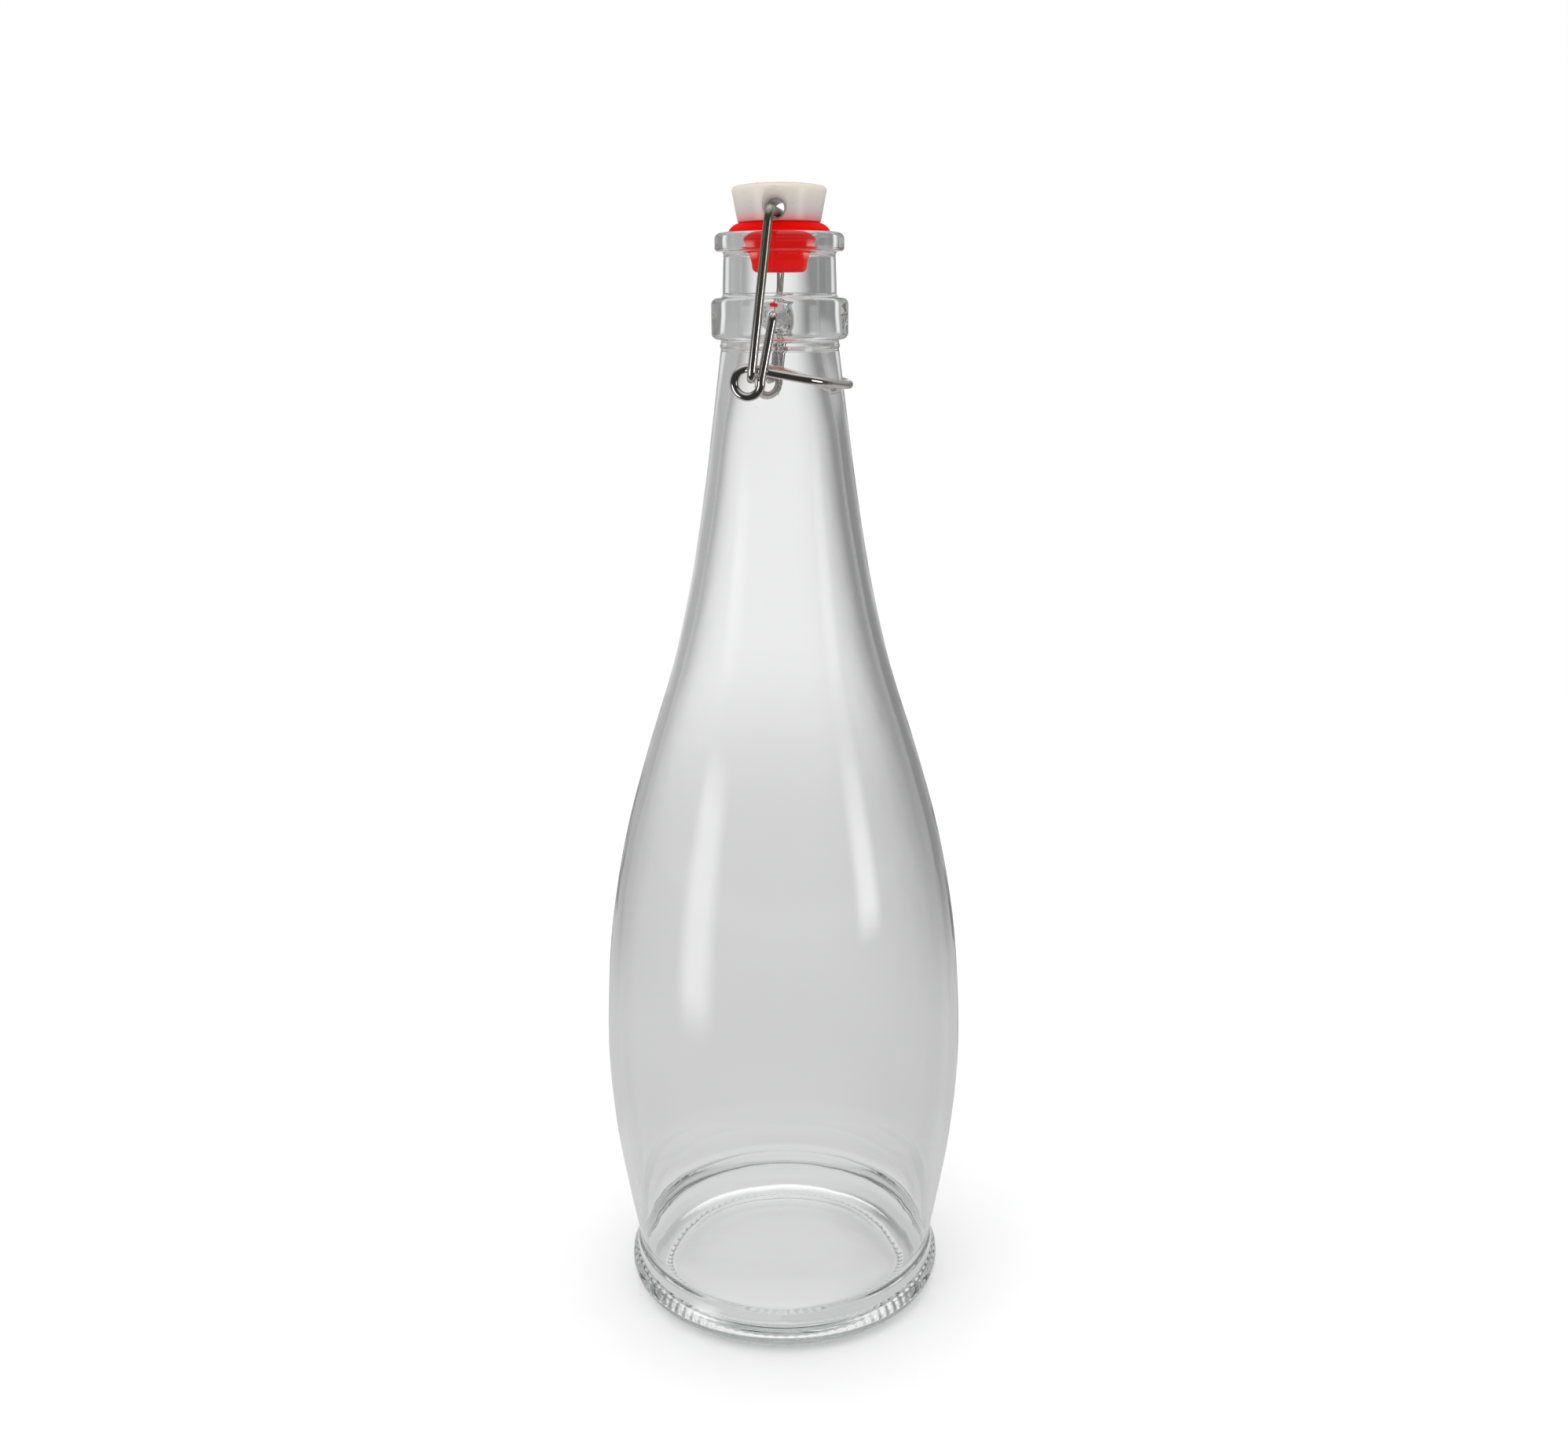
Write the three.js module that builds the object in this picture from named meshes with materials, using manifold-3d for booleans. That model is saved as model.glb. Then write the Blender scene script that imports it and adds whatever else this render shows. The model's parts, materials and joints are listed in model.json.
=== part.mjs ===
// Swing-top bottle: glass bottle, stopper head, rubber seal and the two bent wires of its closure.
// Millimetres. Origin: centre of the base, on the surface the bottle stands on. +Z up.
// The closure swings in the XZ plane: its handle is on +X, its side arms are on -Y and +Y.
import * as THREE from 'three';
import { mergeVertices } from 'three/addons/utils/BufferGeometryUtils.js';
import Module from 'manifold-3d';

const wasm = await Module();
wasm.setup();

// ---- driving dimensions of the bottle ----
const turnSegments = 48;
const wall = 2.6;
const footWidth = 7;
const footHeight = 5.5;
const restOuter = 37.2;
const restInner = 32.4;
const pushUpHeight = 3.2;
const floorHeight = 5.8;
const collarRadius = 17.3;
const collarBottom = 264.0;
const collarTop = 274.2;
const neckRadius = 14.2;
const neckFlare = 0.15;
const lipRadius = 16.2;
const lipBottom = 285.3;
const lipTop = 289.8;
const boreRadius = 10;

// Outside of the body, as radius and height, from the waist over the foot to just below the collar.
const bodyOutline = [
  [44, 7.3], [43.2, 9.5], [42.5, 12.2], [42.3, 15.3], [44.7, 29], [47.5, 47], [49.1, 68], [48.8, 88],
  [46.9, 110], [42.5, 134], [36.15, 157], [28.9, 180], [23.95, 201], [20.3, 222], [17.4, 243], [15.1, 261],
];

// ---- driving dimensions of the stopper and seal ----
const headFoot = 10.4;
const headRim = 11.8;
const headBottom = 292.2;
const headTop = 300.8;
const headDome = 0.7;
const stemRadius = 4;
const knobRadius = 5;
const stemBottom = 283;
const seatGap = 0.7;
const partGap = 0.3;
const flangeRadius = 12.7;
const plugTop = 7.95;
const plugFoot = 6.85;
const plugBottom = 280.2;
const crossHole = 2.1;
const crossHoleZ = 295.2;
const sinkRadius = 3.3;
const sinkDepth = 3;

// ---- driving dimensions of the closure ----
const wireRadius = 1.1;
const wireSides = 8;
const pivotZ = 270;
const dimpleRadius = 2.2;
const dimpleDepth = 2;
const leverArmX = 0.5;
const leverArmY = 19.4;
const handleY = 17.2;
const loopRadius = 3.4;
const loopX = -6;
const loopZ = 254.1;
const handleSlope = -0.2;
const handleReach = 17.6;
const hookX = -5.3;
const hookZ = 254.8;
const hookEnd = 16.4;
const bailArmY = 22.1;
const bailFootX = -4.7;
const crossPinZ = 294.4;

const radians = THREE.MathUtils.degToRad;
const point = (x, y, z) => new THREE.Vector3(x, y, z);

// Points of a circular arc in the radius-height plane, both ends included.
function arc(centreR, centreZ, radius, fromDegrees, toDegrees, steps) {
  const points = [];
  for (let i = 0; i <= steps; i++) {
    const angle = radians(fromDegrees + ((toDegrees - fromDegrees) * i) / steps);
    points.push([centreR + radius * Math.cos(angle), centreZ + radius * Math.sin(angle)]);
  }
  return points;
}

// A smooth line through a few radius-height pairs.
function smooth(pairs, steps) {
  const curve = new THREE.SplineCurve(pairs.map(([r, z]) => new THREE.Vector2(r, z)));
  return curve.getPoints(steps).map((p) => [p.x, p.y]);
}

// Turns an outline that starts and ends on the axis about +Z.
function turned(outline, segments) {
  const geometry = new THREE.LatheGeometry(outline.map(([r, z]) => new THREE.Vector2(r, z)), segments);
  return geometry.rotateX(Math.PI / 2);
}

function toSolid(geometry) {
  const bare = geometry.clone();
  bare.deleteAttribute('normal');
  bare.deleteAttribute('uv');
  const merged = mergeVertices(bare, 1e-4);
  return new wasm.Manifold(new wasm.Mesh({
    numProp: 3,
    vertProperties: new Float32Array(merged.attributes.position.array),
    triVerts: new Uint32Array(merged.index.array),
  }));
}

function toGeometry(solid) {
  const mesh = solid.getMesh();
  const geometry = new THREE.BufferGeometry();
  geometry.setAttribute('position', new THREE.BufferAttribute(mesh.vertProperties, 3));
  geometry.setIndex(new THREE.BufferAttribute(mesh.triVerts, 1));
  geometry.computeVertexNormals();
  return geometry;
}

// A cone or cylinder along Y, from y1 to y2, centred at height z.
function coneAlongY(radius1, radius2, y1, y2, z, segments) {
  const geometry = new THREE.CylinderGeometry(radius2, radius1, Math.abs(y2 - y1), segments);
  if (y2 < y1) geometry.rotateX(Math.PI);
  return geometry.translate(0, (y1 + y2) / 2, z);
}

// A round wire along a list of points, with its corners bent to the given radii.
function bentWire(corners, bends) {
  const path = new THREE.CurvePath();
  let from = corners[0];
  for (let i = 1; i < corners.length - 1; i++) {
    const back = corners[i - 1].clone().sub(corners[i]).normalize();
    const ahead = corners[i + 1].clone().sub(corners[i]).normalize();
    const start = corners[i].clone().addScaledVector(back, bends[i - 1]);
    const end = corners[i].clone().addScaledVector(ahead, bends[i - 1]);
    path.add(new THREE.LineCurve3(from, start));
    path.add(new THREE.QuadraticBezierCurve3(start, corners[i], end));
    from = end;
  }
  path.add(new THREE.LineCurve3(from, corners[corners.length - 1]));
  return path;
}

function wireSection() {
  const section = new THREE.Shape();
  section.absarc(0, 0, wireRadius, 0, 2 * Math.PI);
  return section;
}

function wireAlong(path, steps) {
  return new THREE.ExtrudeGeometry(wireSection(), {
    steps,
    curveSegments: wireSides / 2,
    extrudePath: path,
  });
}

function mirrored(points) {
  return points.map((p) => point(p.x, -p.y, p.z)).reverse();
}

// ---- glass bottle ----
function bottleOutside() {
  const dome = [[0, pushUpHeight], [12, pushUpHeight - 0.3], [24, pushUpHeight - 1.2]];
  const foot = arc(0, 1, 1, -90, 0, 4).map(([r, z]) => [restOuter + footWidth * r, footHeight * z]);
  const body = smooth(bodyOutline, 21);
  const collarCorner = 1.6;
  const collar = [
    [neckRadius + 0.8, collarBottom],
    ...arc(collarRadius - collarCorner, collarBottom + collarCorner, collarCorner, -90, 0, 2),
    ...arc(collarRadius - collarCorner, collarTop - collarCorner, collarCorner, 0, 90, 3),
    [neckRadius + neckFlare, collarTop],
  ];
  const lipCorner = 1.1;
  const lip = [
    [neckRadius - neckFlare, lipBottom],
    [lipRadius, lipBottom],
    ...arc(lipRadius - lipCorner, lipTop - lipCorner, lipCorner, 0, 90, 3),
  ];
  return [...dome, [restInner, 0], ...foot, ...body, ...collar, ...lip];
}

function bottleInside() {
  const mouthCorner = 1.1;
  const mouth = arc(boreRadius + mouthCorner, lipTop - mouthCorner, mouthCorner, 90, 180, 3);
  const neck = [[boreRadius, 280], [10.3, 270]];
  const body = bodyOutline.slice(4, -1).map(([r, z]) => [r - wall, z]).reverse();
  const inside = smooth([[11.4, 260], ...body, [40.4, 17]], 13);
  const floor = [[39.4, 9.2], [38, 6.2], [35.6, 4.4], [32, 3.8], [24, 4.4], [12, 5.4], [0, floorHeight]];
  return [...mouth, ...neck, ...inside, ...floor];
}

function bottle() {
  let solid = toSolid(turned([...bottleOutside(), ...bottleInside()], turnSegments));
  for (const side of [-1, 1]) {
    const deep = side * (collarRadius - dimpleDepth);
    const mouth = side * (collarRadius + 1);
    solid = solid.subtract(toSolid(coneAlongY(dimpleRadius - 0.3, dimpleRadius + 0.3, deep, mouth, pivotZ, 20)));
  }
  return toGeometry(solid);
}

// ---- stopper head, with the stem that holds the seal ----
function stopperHead() {
  const edge = 0.5;
  const outline = [
    [0, stemBottom],
    [knobRadius - 0.8, stemBottom],
    [knobRadius, stemBottom + 0.8],
    [knobRadius, stemBottom + 2],
    [stemRadius, stemBottom + 2.8],
    [stemRadius, headBottom],
    [headFoot, headBottom],
    [headRim, headTop - edge],
    ...arc(headRim - edge, headTop - edge, edge, 20, 90, 2),
    [headRim / 2, headTop + headDome * 0.75],
    [0, headTop + headDome],
  ];
  const reach = headRim + 1;
  let solid = toSolid(turned(outline, 40));
  solid = solid.subtract(toSolid(coneAlongY(crossHole, crossHole, -reach, reach, crossHoleZ, 16)));
  for (const side of [-1, 1]) {
    const outer = side * reach;
    const inner = side * (headFoot - sinkDepth);
    const outerRadius = sinkRadius + 1;
    solid = solid.subtract(toSolid(coneAlongY(crossHole, outerRadius, inner, outer, crossHoleZ, 24)));
  }
  return toGeometry(solid);
}

// ---- rubber seal: a flange over the lip and a hollow plug that hangs in the bore ----
function seal() {
  const flangeBottom = lipTop + seatGap;
  const flangeTop = headBottom - partGap;
  const stemHole = stemRadius + partGap;
  const knobHole = knobRadius + partGap;
  const cavityFloor = stemBottom - partGap;
  return turned([
    [0, plugBottom],
    [plugFoot - 2, plugBottom],
    [plugFoot, plugBottom + 1.8],
    [plugTop, flangeBottom - 1.5],
    [plugTop + 0.4, flangeBottom],
    [flangeRadius, flangeBottom],
    [flangeRadius, flangeBottom + 0.5],
    [headFoot, flangeTop],
    [stemHole, flangeTop],
    [stemHole, cavityFloor + 3.4],
    [knobHole, cavityFloor + 2.4],
    [knobHole, cavityFloor],
    [0, cavityFloor],
  ], 40);
}

// ---- lower wire: pivots in the collar, makes a loop on each side and ends in the handle ----
function leverSide() {
  const loopTurn = 281;
  const pinEnd = collarRadius - dimpleDepth + 0.4;
  const armTop = bentWire(
    [
      point(0, -pinEnd, pivotZ),
      point(leverArmX, -leverArmY, pivotZ),
      point(loopX + loopRadius, -leverArmY, loopZ + 0.5),
    ],
    [1.6],
  ).getSpacedPoints(9);
  const loop = [];
  for (let i = 1; i <= 18; i++) {
    const turn = i / 18;
    const angle = radians(-loopTurn * turn);
    const y = -leverArmY + (leverArmY - handleY) * turn;
    loop.push(point(loopX + loopRadius * Math.cos(angle), y, loopZ + loopRadius * Math.sin(angle)));
  }
  return [...armTop, ...loop];
}

function leverHandle(start) {
  const centreX = handleReach - handleY;
  const handle = [];
  for (let degrees = -90; degrees <= 90; degrees += 15) {
    const x = centreX + handleY * Math.cos(radians(degrees));
    const y = handleY * Math.sin(radians(degrees));
    handle.push(point(x, y, start.z + handleSlope * (x - start.x)));
  }
  return handle;
}

function leverWire() {
  const side = leverSide();
  const handle = leverHandle(side[side.length - 1]);
  const path = new THREE.CatmullRomCurve3([...side, ...handle, ...mirrored(side)], false, 'centripetal');
  path.arcLengthDivisions = 1200;
  return wireAlong(path, 130);
}

// ---- upper wire: hooks through both loops, with its middle running through the stopper head ----
function bailWire() {
  const side = [
    point(hookX, -hookEnd, hookZ),
    point(bailFootX, -bailArmY, hookZ + 0.3),
    point(0, -bailArmY, crossPinZ),
  ];
  const corners = [...side, ...mirrored(side)];
  const hookBend = 2.2;
  const topBend = 2.8;
  return wireAlong(bentWire(corners, [hookBend, topBend, topBend, hookBend]), 84);
}

// ---- materials ----
const glass = new THREE.MeshStandardMaterial({ color: 0xdfe6e3, roughness: 0.03, metalness: 0, transparent: true, opacity: 0.35 });
const white = new THREE.MeshStandardMaterial({ color: 0xe9e4dc, roughness: 0.3, metalness: 0 });
const redRubber = new THREE.MeshStandardMaterial({ color: 0xd8140a, roughness: 0.45, metalness: 0 });
const nickel = new THREE.MeshStandardMaterial({ color: 0xb9b6b0, roughness: 0.15, metalness: 1 });

function named(name, geometry, material) {
  const mesh = new THREE.Mesh(geometry, material);
  mesh.name = name;
  return mesh;
}

const growler = new THREE.Group();
growler.add(named('bottle', bottle(), glass));
growler.add(named('stopper_head', stopperHead(), white));
growler.add(named('seal', seal(), redRubber));
growler.add(named('lever_wire', leverWire(), nickel));
growler.add(named('bail_wire', bailWire(), nickel));

export default growler;
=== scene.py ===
"""Looks of the swing-top bottle: fine glass, moulded stopper, red seal and bright wires.

Row frame, in metres: +Z up, the closure's handle on +X, its side arms on -Y and +Y.
Outlines and the sizes named below are in millimetres.
"""
import json
import math

import bpy
import numpy as np
from mathutils import Matrix, Vector


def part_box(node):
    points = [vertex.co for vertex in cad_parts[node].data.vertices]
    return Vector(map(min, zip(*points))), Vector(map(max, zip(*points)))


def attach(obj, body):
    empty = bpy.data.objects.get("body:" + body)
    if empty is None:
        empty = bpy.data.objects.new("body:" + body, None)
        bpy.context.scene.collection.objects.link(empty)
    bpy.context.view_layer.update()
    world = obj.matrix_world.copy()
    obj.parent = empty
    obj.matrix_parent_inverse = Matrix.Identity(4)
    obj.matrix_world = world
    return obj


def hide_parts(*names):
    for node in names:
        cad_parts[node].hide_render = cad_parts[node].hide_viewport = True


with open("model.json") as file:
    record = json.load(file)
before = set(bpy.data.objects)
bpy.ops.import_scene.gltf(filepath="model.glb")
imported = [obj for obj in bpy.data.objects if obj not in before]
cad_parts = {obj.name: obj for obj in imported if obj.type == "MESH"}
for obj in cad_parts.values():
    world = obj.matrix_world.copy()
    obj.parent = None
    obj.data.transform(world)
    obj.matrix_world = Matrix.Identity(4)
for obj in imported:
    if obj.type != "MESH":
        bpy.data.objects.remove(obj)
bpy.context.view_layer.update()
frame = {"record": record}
MM = 0.001
WIRE_RADIUS = 1.1

# ---- places taken from the frame ----
JOINTS = {joint["name"]: joint for joint in frame["record"]["behaviour"]["joints"]}
PIVOT = [v / MM for v in JOINTS["lever_pivot"]["pos_m"]]
HOOK = [v / MM for v in JOINTS["bail_pivot"]["pos_m"]]
CROSS_PIN = [v / MM for v in JOINTS["stopper_pivot"]["pos_m"]]
LIP_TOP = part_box("bottle")[1][2] / MM
BELLY_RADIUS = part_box("bottle")[1][0] / MM
HEAD_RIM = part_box("stopper_head")[1][0] / MM
HEAD_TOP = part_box("stopper_head")[1][2] / MM
STEM_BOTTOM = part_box("stopper_head")[0][2] / MM
FLANGE_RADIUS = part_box("seal")[1][0] / MM
PLUG_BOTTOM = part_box("seal")[0][2] / MM
LEVER_ARM_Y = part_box("lever_wire")[1][1] / MM - WIRE_RADIUS
BAIL_ARM_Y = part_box("bail_wire")[1][1] / MM - WIRE_RADIUS
HANDLE_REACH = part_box("lever_wire")[1][0] / MM - WIRE_RADIUS

# ---- the bottle's sizes, as in the CAD model ----
WALL = 2.6
REST_OUTER = 37.2
FOOT_WIDTH = 7.0
FOOT_HEIGHT = 5.5
PUSH_UP = 3.2
FLOOR_TOP = 5.8
COLLAR_RADIUS = 17.3
COLLAR_BOTTOM = 264.0
COLLAR_TOP = 274.2
NECK_RADIUS = 14.2
NECK_FLARE = 0.15
LIP_RADIUS = 16.2
LIP_BOTTOM = 285.3
BORE_RADIUS = 10.0
BODY_OUTLINE = [
    (44, 7.3), (43.2, 9.5), (42.5, 12.2), (42.3, 15.3), (44.7, 29), (47.5, 47),
    (BELLY_RADIUS, 68), (48.8, 88), (46.9, 110), (42.5, 134), (36.15, 157), (28.9, 180),
    (23.95, 201), (20.3, 222), (17.4, 243), (15.1, 261),
]

# ---- fine detail that the CAD leaves out ----
# The underside clears the floor and a ring of beads reaches down to it, less so between two beads.
UNDERSIDE_START = 31.6
UNDERSIDE_END = 36.2
UNDERSIDE_HEIGHT = 0.5
BEADS = 84
SEGMENTS_PER_BEAD = 5
BEAD_RING_RADIUS = 33.6
BEAD_HALF_WIDTH = 0.85
DROP_BETWEEN_BEADS = 0.35
MOUTH_CORNER = 1.9
DIMPLE_RADIUS = 3.5
DIMPLE_FLOOR = 1.5
DIMPLE_DEPTH = 2.0
SEAM_HEIGHT = 0.1
SEAM_WIDTH = 0.32
SEAM_TURN = 6
SEAM_FOOT = 205

# ---- the closure's sizes ----
PRESSED = 0.03
LOOP_RADIUS = 3.4
LOOP_X = -6.0
LOOP_Z = 254.1
HANDLE_Y = 17.2
HANDLE_SLOPE = -0.2
LEVER_ARM_X = 0.5
BAIL_FOOT_X = -4.7
HOOK_END = 16.4
HEAD_FOOT = 10.4
HEAD_BOTTOM = 292.2
HEAD_DOME = 0.7
STEM_RADIUS = 4.0
KNOB_RADIUS = 5.0
STEM_PLAY = 0.3
PLUG_FOOT = 6.85
PLUG_TOP = 7.95
CROSS_HOLE = 2.1
CROSS_HOLE_Z = 295.2
BOWL_RADIUS = 6.2

# ---- the studio's brightness: 1 is white ----
MATT_LIGHT = 1.15
BACKDROP = 0.94
BACKDROP_FOOT = 0.72
RIGHT_SIDE = 0.27
LEFT_SIDE = 0.45
DARK_FRONT = 0.15
COLLAR_FRONT = 0.5
CLEAR_FRONT = 0.75
MIRRORED_FRONT = 0.05
CEILING = 0.8


# ---- outlines ----
def arc(centre_r, centre_z, radius, start, end, steps):
    """Points on an arc in the radius-height plane, angles in degrees."""
    angles = [math.radians(start + (end - start) * i / steps) for i in range(steps + 1)]
    return [(centre_r + radius * math.cos(a), centre_z + radius * math.sin(a)) for a in angles]


def smooth(points, steps_per_span):
    """A uniform Catmull-Rom line through a few points, of any dimension."""
    p = [np.array(q, float) for q in points]
    p = [p[0]] + p + [p[-1]]
    line = []
    for a, b, c, d in zip(p, p[1:], p[2:], p[3:]):
        for i in range(steps_per_span):
            t = i / steps_per_span
            squared = (2 * a - 5 * b + 4 * c - d) * t * t
            cubed = (3 * b - a - 3 * c + d) * t ** 3
            line.append(0.5 * (2 * b + (c - a) * t + squared + cubed))
    line.append(p[-2])
    return [tuple(q) for q in line]


def straight(a, b, steps):
    """Points from a up to, but not including, b."""
    shares = [i / steps for i in range(steps)]
    return [(a[0] + (b[0] - a[0]) * t, a[1] + (b[1] - a[1]) * t) for t in shares]


# ---- meshes ----
def mesh_object(name, vertices, faces):
    mesh = bpy.data.meshes.new(name)
    mesh.from_pydata([tuple(v) for v in vertices], [], faces)
    mesh.validate()
    mesh.polygons.foreach_set("use_smooth", [True] * len(mesh.polygons))
    obj = bpy.data.objects.new(name, mesh)
    bpy.context.scene.collection.objects.link(obj)
    return obj


def turned(name, outline, segments, shape=None):
    """Turns an outline about Z. It starts and ends on the axis; shape() may move the points between."""
    rings = np.array(outline[1:-1], float)
    angles = np.arange(segments) * 2 * math.pi / segments
    radius = np.repeat(rings[:, :1], segments, axis=1)
    height = np.repeat(rings[:, 1:], segments, axis=1)
    angle = np.repeat(angles[None, :], len(rings), axis=0)
    if shape:
        radius, height = shape(radius, height, angle)
    grid = np.stack([radius * np.cos(angle), radius * np.sin(angle), height], axis=2).reshape(-1, 3)
    first, last = len(grid), len(grid) + 1
    vertices = np.vstack([grid, [[0, 0, outline[0][1]], [0, 0, outline[-1][1]]]]) * MM
    faces = []
    for j in range(segments):
        k = (j + 1) % segments
        faces.append((first, k, j))
        for i in range(len(rings) - 1):
            ring = i * segments
            faces.append((ring + j, ring + k, ring + segments + k, ring + segments + j))
        end = (len(rings) - 1) * segments
        faces.append((end + j, end + k, last))
    return mesh_object(name, vertices, faces)


def bent(corners, bends, steps=10):
    """Points along a wire with straight runs, each corner bent to its own size."""
    corners = [np.array(c, float) for c in corners]
    line = [corners[0]]
    for before, corner, after, bend in zip(corners, corners[1:], corners[2:], bends):
        start = corner + bend * (before - corner) / np.linalg.norm(before - corner)
        end = corner + bend * (after - corner) / np.linalg.norm(after - corner)
        for i in range(steps + 1):
            t = i / steps
            line.append((1 - t) ** 2 * start + 2 * t * (1 - t) * corner + t * t * end)
    line.append(corners[-1])
    return line


def evenly(line, spacing):
    """The same line with points an even distance apart."""
    line = np.array(line)
    along = np.concatenate([[0], np.cumsum(np.linalg.norm(np.diff(line, axis=0), axis=1))])
    places = np.linspace(0, along[-1], max(2, int(along[-1] / spacing)))
    return np.stack([np.interp(places, along, line[:, k]) for k in range(3)], axis=1)


def wire(name, line, radius, sides=20):
    """A round wire swept along a line, its cut ends slightly tapered."""
    spacing = 0.3
    line = evenly(line, spacing)
    tangents = np.gradient(line, axis=0)
    tangents /= np.linalg.norm(tangents, axis=1)[:, None]
    normal = np.cross(tangents[0], (0.0, 0.3, 1.0))
    radii = np.full(len(line), radius)
    radii[0] = radii[-1] = 0.8 * radius
    vertices, faces = [], []
    for centre, tangent, r in zip(line, tangents, radii):
        normal = normal - tangent * normal.dot(tangent)
        normal /= np.linalg.norm(normal)
        side = np.cross(tangent, normal)
        for j in range(sides):
            a = 2 * math.pi * j / sides
            vertices.append((centre + r * (math.cos(a) * normal + math.sin(a) * side)) * MM)
    for i in range(len(line) - 1):
        ring = i * sides
        for j in range(sides):
            k = (j + 1) % sides
            faces.append((ring + j, ring + k, ring + sides + k, ring + sides + j))
    faces.append(tuple(reversed(range(sides))))
    faces.append(tuple(range((len(line) - 1) * sides, len(line) * sides)))
    return mesh_object(name, vertices, faces)


def mirrored(line):
    """The same line on the other side of the closure, running back."""
    return [np.array((p[0], -p[1], p[2])) for p in line][::-1]


# ---- glass bottle ----
def bottle_outline():
    """The whole glass in one line: under the base, up the outside, over the lip and down the inside."""
    under = (UNDERSIDE_START, 0.7)
    dome = smooth([(0, PUSH_UP), (10, 3.0), (20, 2.35), (28, 1.3), under], 3)[:-1]
    outer = (UNDERSIDE_END, UNDERSIDE_HEIGHT)
    underside = straight(under, outer, 14) + [outer, (38.3, 0.47)]
    foot = [(REST_OUTER + FOOT_WIDTH * r, FOOT_HEIGHT * z) for r, z in arc(0, 1, 1, -65, 0, 11)]
    body = smooth(BODY_OUTLINE, 4)
    ridge = [(14.98, 261.8), (15.2, 262.3), (15.2, 262.7), (15.0, 263.2), (15.0, COLLAR_BOTTOM - 0.25)]
    corner = 1.6
    collar = arc(COLLAR_RADIUS - corner, COLLAR_BOTTOM + corner, corner, -90, 0, 6)
    side_low, side_high = collar[-1], (COLLAR_RADIUS, COLLAR_TOP - corner)
    collar += straight(side_low, side_high, 12)[1:]
    collar += arc(COLLAR_RADIUS - corner, COLLAR_TOP - corner, corner, 0, 90, 6)
    low, high = NECK_RADIUS + NECK_FLARE, NECK_RADIUS - NECK_FLARE
    fillet = arc(low + 1.0, COLLAR_TOP + 1.0, 1.0, 270, 180, 4)
    neck = straight((low, COLLAR_TOP + 1.6), (high, LIP_BOTTOM - 0.8), 5)
    under_lip = arc(high + 0.8, LIP_BOTTOM - 0.8, 0.8, 180, 90, 4)
    edge = 0.8
    lip = arc(LIP_RADIUS - edge, LIP_BOTTOM + edge, edge, -90, 0, 3)
    top = 1.5
    lip += arc(LIP_RADIUS - top, LIP_TOP - top, top, 0, 90, 6)
    mouth = arc(BORE_RADIUS + MOUTH_CORNER, LIP_TOP - MOUTH_CORNER, MOUTH_CORNER, 90, 180, 8)
    bore = straight((BORE_RADIUS, LIP_TOP - MOUTH_CORNER - 0.6), (10.3, 270), 4)
    wall = [(r - WALL, z) for r, z in BODY_OUTLINE[4:-1]][::-1]
    heel = [(40.4, 17), (39.8, 12.5), (39.4, 9.2), (38.0, 6.2), (35.6, 4.4), (32, 3.8)]
    floor = [(27, 4.1), (20, 4.8), (10, 5.5), (0, FLOOR_TOP)]
    floor = smooth([(10.3, 270), (11.4, 260)] + wall + heel + floor, 3)
    outside = dome + underside + foot + body + ridge + collar + fillet + neck + under_lip + lip
    return outside + mouth + bore + floor


def bottle_shape(radius, height, angle):
    """Adds the ring of beads underneath, the two mould seams and the two dimples to the turned bottle."""
    underside = (height < 1) & (radius > 31) & (radius < 37)
    across = np.clip(1 - ((radius - BEAD_RING_RADIUS) / BEAD_HALF_WIDTH) ** 2, 0, 1)
    along = 0.5 + 0.5 * np.cos(BEADS * angle)
    drop = DROP_BETWEEN_BEADS * across + (height - DROP_BETWEEN_BEADS) * across * along
    height = height - underside * drop

    turned_by = np.abs((angle - math.radians(SEAM_TURN)) % math.pi - math.pi / 2)
    from_seam = turned_by * radius
    from_side = np.abs(angle % math.pi - math.pi / 2) * radius
    slow = 0.35 * np.sin(height * 2.3) * np.sin(height * 0.71)
    wave = 0.35 + slow + 0.3 * np.sin(height * 5.1 + 1.0)
    on_neck = (height > SEAM_FOOT) & (radius > 13.5) & (height < LIP_TOP - 1.5)
    seam = np.exp(-((from_seam / SEAM_WIDTH) ** 2)) * wave * on_neck
    radius = radius + SEAM_HEIGHT * seam

    near = np.sqrt(from_side ** 2 + (height - PIVOT[2]) ** 2)
    wall_share = np.clip((near - DIMPLE_FLOOR) / (DIMPLE_RADIUS - DIMPLE_FLOOR), 0, 1)
    bowl = 1 - wall_share ** 2 * (3 - 2 * wall_share)
    collar = (radius > COLLAR_RADIUS - 1.7) & (np.abs(height - PIVOT[2]) < 6)
    return radius - DIMPLE_DEPTH * bowl * collar, height


def make_bottle():
    obj = turned("glass_bottle", bottle_outline(), BEADS * SEGMENTS_PER_BEAD, bottle_shape)
    finish_piece(obj, "bottle", "bottle", glass())


# ---- stopper head and seal ----
def cut(obj, cutter):
    modifier = obj.modifiers.new("cut", "BOOLEAN")
    modifier.object = cutter
    modifier.operation = "DIFFERENCE"
    modifier.solver = "EXACT"
    bpy.context.view_layer.update()
    made = bpy.data.meshes.new_from_object(obj.evaluated_get(bpy.context.evaluated_depsgraph_get()))
    obj.modifiers.clear()
    obj.data = made
    bpy.data.objects.remove(cutter)


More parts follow.
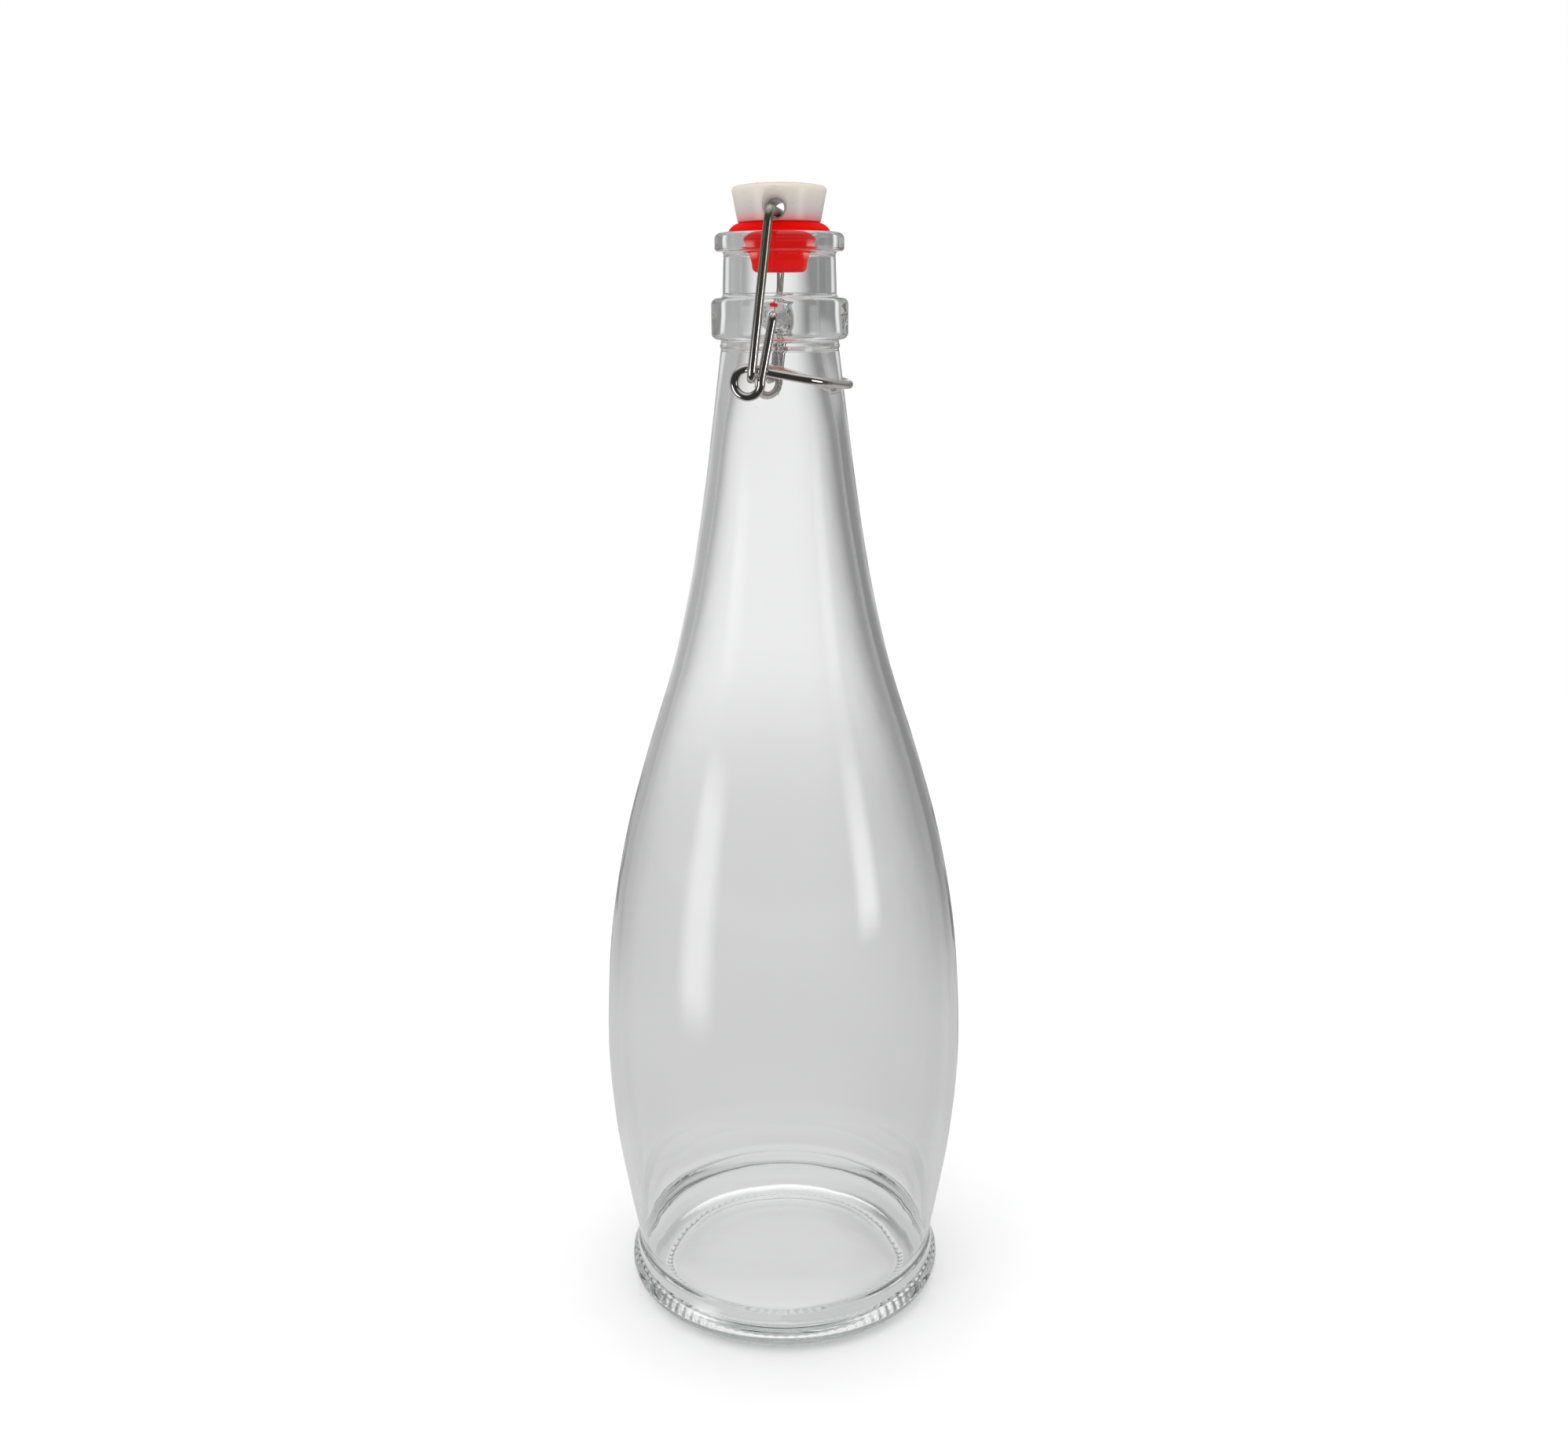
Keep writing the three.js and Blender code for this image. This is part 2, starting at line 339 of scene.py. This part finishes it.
def cross_hole_cutter():
    """A through hole along Y that flares smoothly into a wide bowl at each side of the head."""
    end = HEAD_RIM + 1.2
    flare = [(CROSS_HOLE, 7.6), (2.13, 8.3), (2.25, 9.0), (2.5, 9.7), (2.9, 10.3), (3.45, 10.8)]
    flare += [(4.2, 11.25), (BOWL_RADIUS, 12.1), (BOWL_RADIUS, end), (0, end)]
    outline = [(r, -y) for r, y in flare[::-1]] + flare
    obj = turned("cross_hole_cutter", outline, 64)
    onto_side = Matrix.Rotation(math.pi / 2, 4, "X")
    obj.data.transform(Matrix.Translation((0, 0, CROSS_HOLE_Z * MM)) @ onto_side)
    return obj


def make_head():
    """The head, its stem and the stem's knob in one outline, with the wire's hole cut across it."""
    edge = 1.1
    rim_z = HEAD_TOP - HEAD_DOME - edge
    outline = [(0, STEM_BOTTOM), (4.2, STEM_BOTTOM)]
    outline += [(KNOB_RADIUS, STEM_BOTTOM + 0.8), (KNOB_RADIUS, STEM_BOTTOM + 2)]
    outline += [(STEM_RADIUS, STEM_BOTTOM + 2.8), (STEM_RADIUS, HEAD_BOTTOM)]
    outline += [(HEAD_FOOT - 0.6, HEAD_BOTTOM)]
    outline += arc(HEAD_FOOT - 0.35, HEAD_BOTTOM + 0.35, 0.35, -90, -10, 3)
    outline += straight((HEAD_FOOT + 0.05, HEAD_BOTTOM + 0.6), (HEAD_RIM - 0.03, rim_z), 8)
    outline += arc(HEAD_RIM - edge, rim_z, edge, 0, 75, 8)
    dome = [(10.4, 0.15), (8.8, 0.50), (7, 0.78), (5, 0.92), (2.5, 0.98)]
    outline += [(r, HEAD_TOP - HEAD_DOME * (1 - share)) for r, share in dome] + [(0, HEAD_TOP)]
    obj = turned("moulded_head", outline, 144)
    cut(obj, cross_hole_cutter())
    obj.data.set_sharp_from_angle(angle=math.radians(50))
    finish_piece(obj, "stopper", "stopper_head", white_plastic())


def make_seal():
    """The rubber is pressed onto the lip: its underside meets the glass and fills the mouth's corner."""
    seat = LIP_TOP - PRESSED
    top = HEAD_BOTTOM - 0.1
    foot = 1.3
    outline = [(0, PLUG_BOTTOM)]
    outline += arc(PLUG_FOOT - foot, PLUG_BOTTOM + foot, foot, -90, -12, 8)
    outline += straight((PLUG_FOOT + 0.1, PLUG_BOTTOM + 2.2), (PLUG_TOP, seat - 3.3), 6)
    outline += smooth([(8.2, seat - 2.7), (9.0, seat - 1.9), (10.1, seat - 1.2)], 3)
    corner = BORE_RADIUS + MOUTH_CORNER
    outline += arc(corner, LIP_TOP - MOUTH_CORNER, MOUTH_CORNER + PRESSED, 158, 90, 6)
    outline = [(r, min(z, seat)) if r > corner - 0.01 else (r, z) for r, z in outline]
    edge = 0.25
    outline += straight((12.1, seat), (FLANGE_RADIUS - edge, seat), 2)
    outline += arc(FLANGE_RADIUS - edge, seat + edge, edge, -90, 30, 5)
    outline += smooth([(12.5, seat + 0.7), (12.05, seat + 1.3), (11.2, seat + 1.95), (10.2, top)], 4)
    hole, pocket = STEM_RADIUS + STEM_PLAY, KNOB_RADIUS + STEM_PLAY
    outline += [(hole, top), (hole, STEM_BOTTOM + 3.1), (pocket, STEM_BOTTOM + 2.1)]
    outline += [(pocket, STEM_BOTTOM - STEM_PLAY), (0, STEM_BOTTOM - STEM_PLAY)]
    obj = turned("rubber_seal", outline, 120)
    obj.data.set_sharp_from_angle(angle=math.radians(60))
    finish_piece(obj, "stopper", "seal", red_rubber())


# ---- wires ----
def lever_side():
    """Half of the lower wire: the pin in the dimple, the arm down, and most of a turn as the loop."""
    loop_steps = 60
    loop_degrees = 281
    pin_end = COLLAR_RADIUS - DIMPLE_DEPTH + 0.4
    arm = bent([
        (0, -pin_end, PIVOT[2]),
        (LEVER_ARM_X, -LEVER_ARM_Y, PIVOT[2]),
        (LOOP_X + LOOP_RADIUS, -LEVER_ARM_Y, LOOP_Z + 0.5),
    ], [1.6])
    loop = []
    for i in range(1, loop_steps + 1):
        turn = i / loop_steps
        angle = math.radians(-loop_degrees * turn)
        y = -LEVER_ARM_Y + (LEVER_ARM_Y - HANDLE_Y) * turn
        loop.append((LOOP_X + LOOP_RADIUS * math.cos(angle), y, LOOP_Z + LOOP_RADIUS * math.sin(angle)))
    return [tuple(p) for p in arm] + loop


def make_lever():
    """The lower wire: two mirrored sides joined by the handle's half circle."""
    side = lever_side()
    start = side[-1]
    handle = []
    for degrees in range(-90, 91, 5):
        x = HANDLE_REACH - HANDLE_Y + HANDLE_Y * math.cos(math.radians(degrees))
        y = HANDLE_Y * math.sin(math.radians(degrees))
        handle.append((x, y, start[2] + HANDLE_SLOPE * (x - start[0])))
    line = side + handle + [tuple(p) for p in mirrored(side)]
    obj = wire("lower_wire", line, WIRE_RADIUS)
    finish_piece(obj, "lever", "lever_wire", nickel("lever_nickel", 0.0))


def make_bail():
    """The upper wire: a hook, an arm, the pin across the head, an arm and a hook."""
    side = [
        (HOOK[0], -HOOK_END, HOOK[2]),
        (BAIL_FOOT_X, -BAIL_ARM_Y, HOOK[2] + 0.3),
        (CROSS_PIN[0], -BAIL_ARM_Y, CROSS_PIN[2]),
    ]
    corners = side + [tuple(p) for p in mirrored(side)]
    obj = wire("upper_wire", bent(corners, [2.2, 2.8, 2.8, 2.2]), WIRE_RADIUS)
    finish_piece(obj, "bail", "bail_wire", nickel("bail_nickel", 1.0))


def finish_piece(obj, body, node, material):
    """Gives a piece its material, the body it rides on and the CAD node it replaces."""
    obj.data.materials.append(material)
    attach(obj, body)
    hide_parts(node)


# ---- materials ----
def new_material(name):
    material = bpy.data.materials.new(name)
    material.use_nodes = True
    nodes = material.node_tree.nodes
    return material, nodes, material.node_tree.links, nodes["Principled BSDF"]


def noise(nodes, links, scale, detail, stretch=(1, 1, 1)):
    """Noise over the piece's own coordinates, in metres, stretched along its axes."""
    place = nodes.new("ShaderNodeTexCoord")
    mapping = nodes.new("ShaderNodeMapping")
    mapping.inputs["Scale"].default_value = stretch
    texture = nodes.new("ShaderNodeTexNoise")
    texture.inputs["Scale"].default_value = scale
    texture.inputs["Detail"].default_value = detail
    links.new(place.outputs["Object"], mapping.inputs["Vector"])
    links.new(mapping.outputs["Vector"], texture.inputs["Vector"])
    return texture


def bump(nodes, links, shader, texture, distance, strength=1.0):
    node = nodes.new("ShaderNodeBump")
    node.inputs["Distance"].default_value = distance
    node.inputs["Strength"].default_value = strength
    links.new(texture.outputs["Fac"], node.inputs["Height"])
    links.new(node.outputs["Normal"], shader.inputs["Normal"])


def ramp(nodes, links, source, low, high, start=0.0, end=1.0):
    node = nodes.new("ShaderNodeValToRGB")
    node.color_ramp.elements[0].position = start
    node.color_ramp.elements[0].color = low
    node.color_ramp.elements[1].position = end
    node.color_ramp.elements[1].color = high
    links.new(source, node.inputs["Fac"])
    return node


def share_of_height(nodes, links, bottom, top, high=1.0):
    """Runs from 0 at one height of the piece to high at another, both in millimetres."""
    place = nodes.new("ShaderNodeTexCoord")
    split = nodes.new("ShaderNodeSeparateXYZ")
    links.new(place.outputs["Object"], split.inputs["Vector"])
    height = nodes.new("ShaderNodeMapRange")
    height.inputs["From Min"].default_value = bottom * MM
    height.inputs["From Max"].default_value = top * MM
    height.inputs["To Max"].default_value = high
    links.new(split.outputs["Z"], height.inputs["Value"])
    return height.outputs["Result"]


def grey(value):
    return value, value, value, 1


def glass():
    """Clear soda-lime glass: faint waviness of moulding, green only where it is thick."""
    material, nodes, links, shader = new_material("clear_glass")
    shader.inputs["Base Color"].default_value = (0.995, 0.995, 0.995, 1)
    shader.inputs["Transmission Weight"].default_value = 1.0
    shader.inputs["Roughness"].default_value = 0.0
    shader.inputs["IOR"].default_value = 1.5
    waves = noise(nodes, links, 55, 2.0, (1, 1, 0.45))
    bump(nodes, links, shader, waves, 0.0003, 0.35)
    absorb = nodes.new("ShaderNodeVolumeAbsorption")
    absorb.inputs["Color"].default_value = (0.55, 0.8, 0.72, 1)
    absorb.inputs["Density"].default_value = 3.0
    links.new(absorb.outputs["Volume"], nodes["Material Output"].inputs["Volume"])
    return material


def white_plastic():
    """Glossy off-white moulding, its own colour overlaid with painted light and shade by height: a
    painted pinkish reflection of the red seal at its foot, painted shade greying the middle, painted
    light making the top brighter and creamier; uneven gloss.
    """
    material, nodes, links, shader = new_material("white_plastic")
    # Painted light and shade on the off-white plastic: a painted pinkish reflection of the red seal at
    # the foot, painted shade in the greyer middle steps, painted light on the brighter, creamier top.
    painted_reflection_pink, painted_light_cream = (0.60, 0.20, 0.19, 1), (0.69, 0.62, 0.53, 1)
    between = {0.15: (0.55, 0.37, 0.37, 1), 0.32: (0.52, 0.47, 0.46, 1), 0.6: (0.57, 0.53, 0.49, 1)}
    height = share_of_height(nodes, links, HEAD_BOTTOM, HEAD_TOP)
    tint = ramp(nodes, links, height, painted_reflection_pink, painted_light_cream, 0.02, 0.95)
    for share, colour in between.items():
        tint.color_ramp.elements.new(share).color = colour
    links.new(tint.outputs["Color"], shader.inputs["Base Color"])
    gloss = noise(nodes, links, 420, 3.0)
    rough = ramp(nodes, links, gloss.outputs["Fac"], grey(0.26), grey(0.36), 0.3, 0.7)
    links.new(rough.outputs["Color"], shader.inputs["Roughness"])
    shader.inputs["Subsurface Weight"].default_value = 0.25
    shader.inputs["Subsurface Radius"].default_value = (0.9, 0.7, 0.55)
    shader.inputs["Subsurface Scale"].default_value = 0.0015
    bump(nodes, links, shader, gloss, 0.00002)
    return material


def red_rubber():
    """Satin red silicone with a fine moulded grain, its flange a little deeper than the plug."""
    material, nodes, links, shader = new_material("red_rubber")
    plug_red, flange_red = (1.0, 0.001, 0.0, 1), (0.72, 0.001, 0.0, 1)
    grain = noise(nodes, links, 900, 4.0)
    height = share_of_height(nodes, links, LIP_TOP - 1, LIP_TOP)
    tint = ramp(nodes, links, height, plug_red, flange_red)
    links.new(tint.outputs["Color"], shader.inputs["Base Color"])
    rough = ramp(nodes, links, grain.outputs["Fac"], grey(0.45), grey(0.58), 0.3, 0.7)
    links.new(rough.outputs["Color"], shader.inputs["Roughness"])
    shader.inputs["Specular IOR Level"].default_value = 0.03
    shader.inputs["Subsurface Weight"].default_value = 0.2
    shader.inputs["Subsurface Radius"].default_value = (1.0, 0.15, 0.08)
    shader.inputs["Subsurface Scale"].default_value = 0.001
    bump(nodes, links, shader, grain, 0.00006)
    return material


def nickel(name, dull):
    """Bright nickel-plated wire with faint drawing lines; dull greys the upper part of the arms."""
    material, nodes, links, shader = new_material(name)
    shader.inputs["Metallic"].default_value = 1.0
    bright, worn = (0.62, 0.59, 0.56, 1), (0.36, 0.35, 0.28, 1)
    lines = noise(nodes, links, 700, 3.0, (1, 1, 0.06))
    height = share_of_height(nodes, links, PIVOT[2] - 4, PIVOT[2] + 8, dull)
    tint = ramp(nodes, links, height, bright, worn)
    links.new(tint.outputs["Color"], shader.inputs["Base Color"])
    rough = ramp(nodes, links, height, grey(0.07), grey(0.24))
    links.new(rough.outputs["Color"], shader.inputs["Roughness"])
    bump(nodes, links, shader, lines, 0.00005, 0.6)
    return material


# ---- studio ----
def make_floor():
    """A wide, plain, pale floor. Glass and wires mirror the studio's own soft lower half instead."""
    radius, thickness = 900, 2.0
    obj = turned("floor", [(0, -thickness), (radius, -thickness), (radius, 0.0), (0, 0.0)], 128)
    obj.data.polygons.foreach_set("use_smooth", [False] * len(obj.data.polygons))
    material, nodes, links, shader = new_material("floor_white")
    grain = noise(nodes, links, 60, 2.0)
    tone = ramp(nodes, links, grain.outputs["Fac"], grey(0.96), grey(0.99))
    links.new(tone.outputs["Color"], shader.inputs["Base Color"])
    shader.inputs["Roughness"].default_value = 1.0
    shader.inputs["Specular IOR Level"].default_value = 0.0
    obj.data.materials.append(material)
    obj.visible_glossy = False
    obj.visible_transmission = False


class NodeSums:
    """Builds arithmetic out of nodes in one node tree."""

    def __init__(self, tree):
        self.nodes, self.links = tree.nodes, tree.links

    def feed(self, socket, value):
        if isinstance(value, (int, float)):
            socket.default_value = value
        else:
            self.links.new(value, socket)

    def sum(self, operation, *values):
        node = self.nodes.new("ShaderNodeMath")
        node.operation = operation
        for socket, value in zip(node.inputs, values):
            self.feed(socket, value)
        return node.outputs[0]

    def step(self, value, start, end, low=0.0, high=1.0):
        """Runs smoothly from low, at start, to high, at end."""
        node = self.nodes.new("ShaderNodeMapRange")
        node.interpolation_type = "SMOOTHSTEP"
        for name, number in zip(("From Min", "From Max", "To Min", "To Max"), (start, end, low, high)):
            self.feed(node.inputs[name], number)
        self.links.new(value, node.inputs["Value"])
        return node.outputs["Result"]

    def mix(self, share, low, high):
        node = self.nodes.new("ShaderNodeMix")
        node.data_type = "FLOAT"
        self.feed(node.inputs["Factor"], share)
        self.feed(node.inputs["A"], low)
        self.feed(node.inputs["B"], high)
        return node.outputs["Result"]

    def times(self, a, b):
        return self.sum("MULTIPLY", a, b)


class Studio(NodeSums):
    """The world's node tree, with the two directions its brightness depends on: azimuth and height."""

    def __init__(self, world):
        super().__init__(world.node_tree)
        place = self.nodes.new("ShaderNodeTexCoord")
        split = self.nodes.new("ShaderNodeSeparateXYZ")
        self.links.new(place.outputs["Generated"], split.inputs["Vector"])
        self.height = split.outputs["Z"]
        azimuth = self.sum("ARCTAN2", split.outputs["X"], split.outputs["Y"])
        self.azimuth = self.sum("DEGREES", azimuth)


def make_world():
    """White to the eye, even light on matt surfaces, and a grey studio in the glass and the metal."""
    world = bpy.data.worlds.new("studio")
    bpy.context.scene.world = world
    world.use_nodes = True
    background = world.node_tree.nodes["Background"]
    background.inputs["Color"].default_value = (1, 1, 1, 1)
    studio = Studio(world)
    path = world.node_tree.nodes.new("ShaderNodeLightPath")

    # Behind the bottle: a pale backdrop, darker to both sides. Higher up it turns an even grey.
    backdrop = studio.step(studio.height, -0.33, -0.19, BACKDROP_FOOT, BACKDROP)
    right = studio.step(studio.azimuth, -5.0, 10.0, 1.0, RIGHT_SIDE)
    left = studio.step(studio.azimuth, -30.0, -11.0, LEFT_SIDE, 1.0)
    sides = studio.times(right, left)
    high_sides = studio.mix(studio.step(studio.height, 0.08, 0.22), sides, 0.5)
    behind = studio.times(high_sides, backdrop)

    # In front of it: dark, as glass and metal mirror it, but paler when only looked through.
    above = studio.step(studio.height, -0.08, -0.02)
    below = studio.step(studio.height, -0.02, 0.08, 1.0, 0.0)
    at_collar = studio.times(above, below)
    straight_through = studio.sum("LESS_THAN", path.outputs["Glossy Depth"], 0.5)
    mirrored_dark = studio.mix(at_collar, DARK_FRONT, COLLAR_FRONT)
    dark_front = studio.mix(straight_through, mirrored_dark, CLEAR_FRONT)
    front = studio.step(studio.sum("ABSOLUTE", studio.azimuth), 70.0, 110.0)
    upper = studio.mix(front, behind, dark_front)

    # Below it, the floor's grey, and above it the ceiling.
    lower = studio.step(studio.height, -0.53, -0.49, 0.755, 0.70)
    lower = studio.times(lower, studio.mix(0.28, 1.0, sides))
    studio_grey = studio.mix(studio.step(studio.height, -0.42, -0.2), lower, upper)
    ceiling = studio.step(studio.height, 0.5, 0.95, 0.0, CEILING)
    seen = studio.sum("ADD", studio_grey, ceiling)
    mirrored_grey = studio.sum("ADD", studio.mix(front, studio_grey, MIRRORED_FRONT), ceiling)

    # Which of these a ray sees. The mirrored front is darkest for rays that met no glass yet.
    light = studio.mix(path.outputs["Is Transmission Ray"], MATT_LIGHT, seen)
    before_glass = studio.sum("LESS_THAN", path.outputs["Transmission Depth"], 0.5)
    mirrored = studio.mix(before_glass, seen, mirrored_grey)
    light = studio.mix(path.outputs["Is Glossy Ray"], light, mirrored)
    lit_matt = studio.sum("GREATER_THAN", path.outputs["Diffuse Depth"], 0.5)
    light = studio.mix(lit_matt, light, MATT_LIGHT)
    light = studio.mix(path.outputs["Is Camera Ray"], light, 1.0)
    studio.links.new(light, background.inputs["Strength"])


def make_card(name, azimuth, width, bottom, top, fade, strength):
    """A tall glowing card that only reflections see; azimuth in degrees from +Y, sizes in mm.

    width is from its middle to each side, and fade is how far it fades out below and above.
    """
    distance = 550
    high = top + fade[1]
    low = bottom - fade[0]
    corners = [(-width, 0, low), (width, 0, low), (width, 0, high), (-width, 0, high)]
    obj = mesh_object(name, [Vector(c) * MM for c in corners], [(0, 1, 2, 3)])
    turn = Matrix.Rotation(-math.radians(azimuth), 4, "Z")
    obj.matrix_world = turn @ Matrix.Translation((0, distance * MM, 0))
    obj.data.materials.append(glow_material(name, width, (low, bottom), (high, top), strength))
    obj.visible_camera = False
    obj.visible_diffuse = False
    obj.visible_transmission = False
    obj.visible_shadow = False


def glow_material(name, width, rise, fall, strength):
    """A glow that fades to its sides and ends. rise and fall run from an end to where it is full."""
    material, nodes, links, shader = new_material(name)
    tree = NodeSums(material.node_tree)
    place = nodes.new("ShaderNodeTexCoord")
    split = nodes.new("ShaderNodeSeparateXYZ")
    links.new(place.outputs["Object"], split.inputs["Vector"])
    from_middle = tree.sum("ABSOLUTE", split.outputs["X"])
    across = tree.step(from_middle, width * MM, width * 0.2 * MM)
    upward = tree.step(split.outputs["Z"], rise[0] * MM, rise[1] * MM)
    downward = tree.step(split.outputs["Z"], fall[0] * MM, fall[1] * MM)
    glow = nodes.new("ShaderNodeEmission")
    brightness = tree.times(tree.times(across, tree.times(upward, downward)), strength)
    links.new(brightness, glow.inputs["Strength"])
    links.new(glow.outputs["Emission"], nodes["Material Output"].inputs["Surface"])
    nodes.remove(shader)
    return material


def soft_light(name, place, target, size, power):
    """A soft light that shapes the matt pieces and the shadow, unseen in the glass and the wires."""
    data = bpy.data.lights.new(name, "AREA")
    data.shape = "RECTANGLE"
    data.size, data.size_y = size
    data.energy = power
    obj = bpy.data.objects.new(name, data)
    bpy.context.scene.collection.objects.link(obj)
    obj.location = place
    obj.rotation_euler = (Vector(target) - Vector(place)).to_track_quat("-Z", "Y").to_euler()
    obj.visible_glossy = False
    obj.visible_transmission = False


def make_camera():
    """Level with the collar, looking a little down, a few degrees round from the closure's side."""
    distance, height, aside = 0.4131, 0.2709, 0.00055
    azimuth, pitch, roll = math.radians(6.0), math.radians(14.65), math.radians(-0.29)
    data = bpy.data.cameras.new("camera")
    data.sensor_width = 36
    data.lens = 36.41
    obj = bpy.data.objects.new("camera", data)
    bpy.context.scene.collection.objects.link(obj)
    turn = Matrix.Rotation(azimuth, 4, "Z") @ Matrix.Translation((aside, -distance, height))
    tilt = Matrix.Rotation(math.pi / 2 - pitch, 4, "X") @ Matrix.Rotation(roll, 4, "Z")
    obj.matrix_world = turn @ tilt
    bpy.context.scene.camera = obj


def set_bounces_and_colours():
    """Enough bounces for light to cross both walls of the bottle, and plain colours."""
    scene = bpy.context.scene
    scene.view_settings.view_transform = "Standard"
    scene.cycles.max_bounces = 40
    scene.cycles.transmission_bounces = 40
    scene.cycles.glossy_bounces = 24


make_bottle()
make_head()
make_seal()
make_lever()
make_bail()
make_floor()
make_world()
make_camera()
make_card("left_card", azimuth=-131, width=150, bottom=-15, top=230, fade=(90, 100), strength=4.0)
make_card("right_card", azimuth=117, width=115, bottom=110, top=190, fade=(60, 170), strength=5.0)
soft_light("key", place=(-0.5, -0.6, 0.8), target=(0, 0, 0.2), size=(0.5, 0.5), power=0.8)
set_bounces_and_colours()
